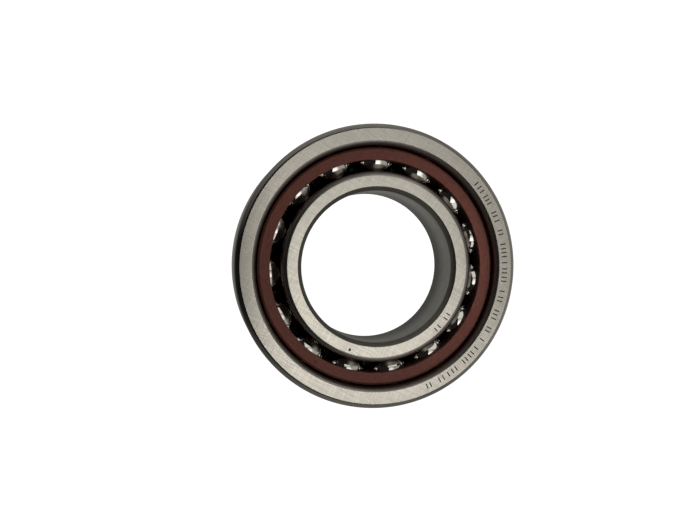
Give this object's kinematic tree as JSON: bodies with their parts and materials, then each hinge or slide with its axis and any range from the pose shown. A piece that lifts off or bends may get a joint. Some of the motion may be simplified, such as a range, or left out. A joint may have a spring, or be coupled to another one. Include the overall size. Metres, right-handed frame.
{
  "type": "ball bearing",
  "caption": "Open single-row angular-contact ball bearing: ground steel rings, mirror-polished balls and a solid dark red-brown cage of laminated resin.",
  "frame": {"origin": "centre of the bearing, on its axis and midway between its two side faces", "axes": "+Z along the bearing's axis, out of the front side face, where the inner ring's low shoulder shows; +Y and +X in the side face's plane"},
  "size_m": [0.047, 0.047, 0.012],
  "materials": {
    "ring_steel": "satin",
    "cage_resin": "matte",
    "ball_steel": "polished"
  },
  "bodies": {
    "outer_ring": {"outer_ring": "ring_steel"},
    "inner_ring": {"inner_ring": "ring_steel"},
    "cage": {"cage": "cage_resin"},
    "ball_01": {"ball_01": "ball_steel"},
    "ball_02": {"ball_02": "ball_steel"},
    "ball_03": {"ball_03": "ball_steel"},
    "ball_04": {"ball_04": "ball_steel"},
    "ball_05": {"ball_05": "ball_steel"},
    "ball_06": {"ball_06": "ball_steel"},
    "ball_07": {"ball_07": "ball_steel"},
    "ball_08": {"ball_08": "ball_steel"},
    "ball_09": {"ball_09": "ball_steel"},
    "ball_10": {"ball_10": "ball_steel"},
    "ball_11": {"ball_11": "ball_steel"},
    "ball_12": {"ball_12": "ball_steel"},
    "ball_13": {"ball_13": "ball_steel"},
    "ball_14": {"ball_14": "ball_steel"},
    "ball_15": {"ball_15": "ball_steel"}
  },
  "joints": [
    {"name": "inner_ring_spin", "type": "hinge", "parent": "outer_ring", "child": "inner_ring", "pos_m": [0, 0, 0], "axis": [0, 0, 1], "continuous": true},
    {"name": "cage_orbit", "type": "hinge", "parent": "outer_ring", "child": "cage", "pos_m": [0, 0, 0], "axis": [0, 0, 1], "continuous": true},
    {"name": "ball_01_spin", "type": "hinge", "parent": "cage", "child": "ball_01", "pos_m": [0.00188, 0.0179, 0], "axis": [-0.0271, -0.2574, 0.9659], "continuous": true},
    {"name": "ball_02_spin", "type": "hinge", "parent": "cage", "child": "ball_02", "pos_m": [-0.00556, 0.01712, 0], "axis": [0.08, -0.2462, 0.9659], "continuous": true},
    {"name": "ball_03_spin", "type": "hinge", "parent": "cage", "child": "ball_03", "pos_m": [-0.01204, 0.01338, 0], "axis": [0.1732, -0.1923, 0.9659], "continuous": true},
    {"name": "ball_04_spin", "type": "hinge", "parent": "cage", "child": "ball_04", "pos_m": [-0.01644, 0.00732, 0], "axis": [0.2364, -0.1053, 0.9659], "continuous": true},
    {"name": "ball_05_spin", "type": "hinge", "parent": "cage", "child": "ball_05", "pos_m": [-0.018, 0, 0], "axis": [0.2588, 0, 0.9659], "continuous": true},
    {"name": "ball_06_spin", "type": "hinge", "parent": "cage", "child": "ball_06", "pos_m": [-0.01644, -0.00732, 0], "axis": [0.2364, 0.1053, 0.9659], "continuous": true},
    {"name": "ball_07_spin", "type": "hinge", "parent": "cage", "child": "ball_07", "pos_m": [-0.01204, -0.01338, 0], "axis": [0.1732, 0.1923, 0.9659], "continuous": true},
    {"name": "ball_08_spin", "type": "hinge", "parent": "cage", "child": "ball_08", "pos_m": [-0.00556, -0.01712, 0], "axis": [0.08, 0.2462, 0.9659], "continuous": true},
    {"name": "ball_09_spin", "type": "hinge", "parent": "cage", "child": "ball_09", "pos_m": [0.00188, -0.0179, 0], "axis": [-0.0271, 0.2574, 0.9659], "continuous": true},
    {"name": "ball_10_spin", "type": "hinge", "parent": "cage", "child": "ball_10", "pos_m": [0.009, -0.01559, 0], "axis": [-0.1294, 0.2241, 0.9659], "continuous": true},
    {"name": "ball_11_spin", "type": "hinge", "parent": "cage", "child": "ball_11", "pos_m": [0.01456, -0.01058, 0], "axis": [-0.2094, 0.1521, 0.9659], "continuous": true},
    {"name": "ball_12_spin", "type": "hinge", "parent": "cage", "child": "ball_12", "pos_m": [0.01761, -0.00374, 0], "axis": [-0.2532, 0.0538, 0.9659], "continuous": true},
    {"name": "ball_13_spin", "type": "hinge", "parent": "cage", "child": "ball_13", "pos_m": [0.01761, 0.00374, 0], "axis": [-0.2532, -0.0538, 0.9659], "continuous": true},
    {"name": "ball_14_spin", "type": "hinge", "parent": "cage", "child": "ball_14", "pos_m": [0.01456, 0.01058, 0], "axis": [-0.2094, -0.1521, 0.9659], "continuous": true},
    {"name": "ball_15_spin", "type": "hinge", "parent": "cage", "child": "ball_15", "pos_m": [0.009, 0.01559, 0], "axis": [-0.1294, -0.2241, 0.9659], "continuous": true}
  ],
  "couplings": [
    {"joint": "cage_orbit", "follows": "inner_ring_spin", "ratio": 0.41481},
    {"joint": "ball_01_spin", "follows": "inner_ring_spin", "ratio": -2.7524},
    {"joint": "ball_02_spin", "follows": "inner_ring_spin", "ratio": -2.7524},
    {"joint": "ball_03_spin", "follows": "inner_ring_spin", "ratio": -2.7524},
    {"joint": "ball_04_spin", "follows": "inner_ring_spin", "ratio": -2.7524},
    {"joint": "ball_05_spin", "follows": "inner_ring_spin", "ratio": -2.7524},
    {"joint": "ball_06_spin", "follows": "inner_ring_spin", "ratio": -2.7524},
    {"joint": "ball_07_spin", "follows": "inner_ring_spin", "ratio": -2.7524},
    {"joint": "ball_08_spin", "follows": "inner_ring_spin", "ratio": -2.7524},
    {"joint": "ball_09_spin", "follows": "inner_ring_spin", "ratio": -2.7524},
    {"joint": "ball_10_spin", "follows": "inner_ring_spin", "ratio": -2.7524},
    {"joint": "ball_11_spin", "follows": "inner_ring_spin", "ratio": -2.7524},
    {"joint": "ball_12_spin", "follows": "inner_ring_spin", "ratio": -2.7524},
    {"joint": "ball_13_spin", "follows": "inner_ring_spin", "ratio": -2.7524},
    {"joint": "ball_14_spin", "follows": "inner_ring_spin", "ratio": -2.7524},
    {"joint": "ball_15_spin", "follows": "inner_ring_spin", "ratio": -2.7524}
  ]
}
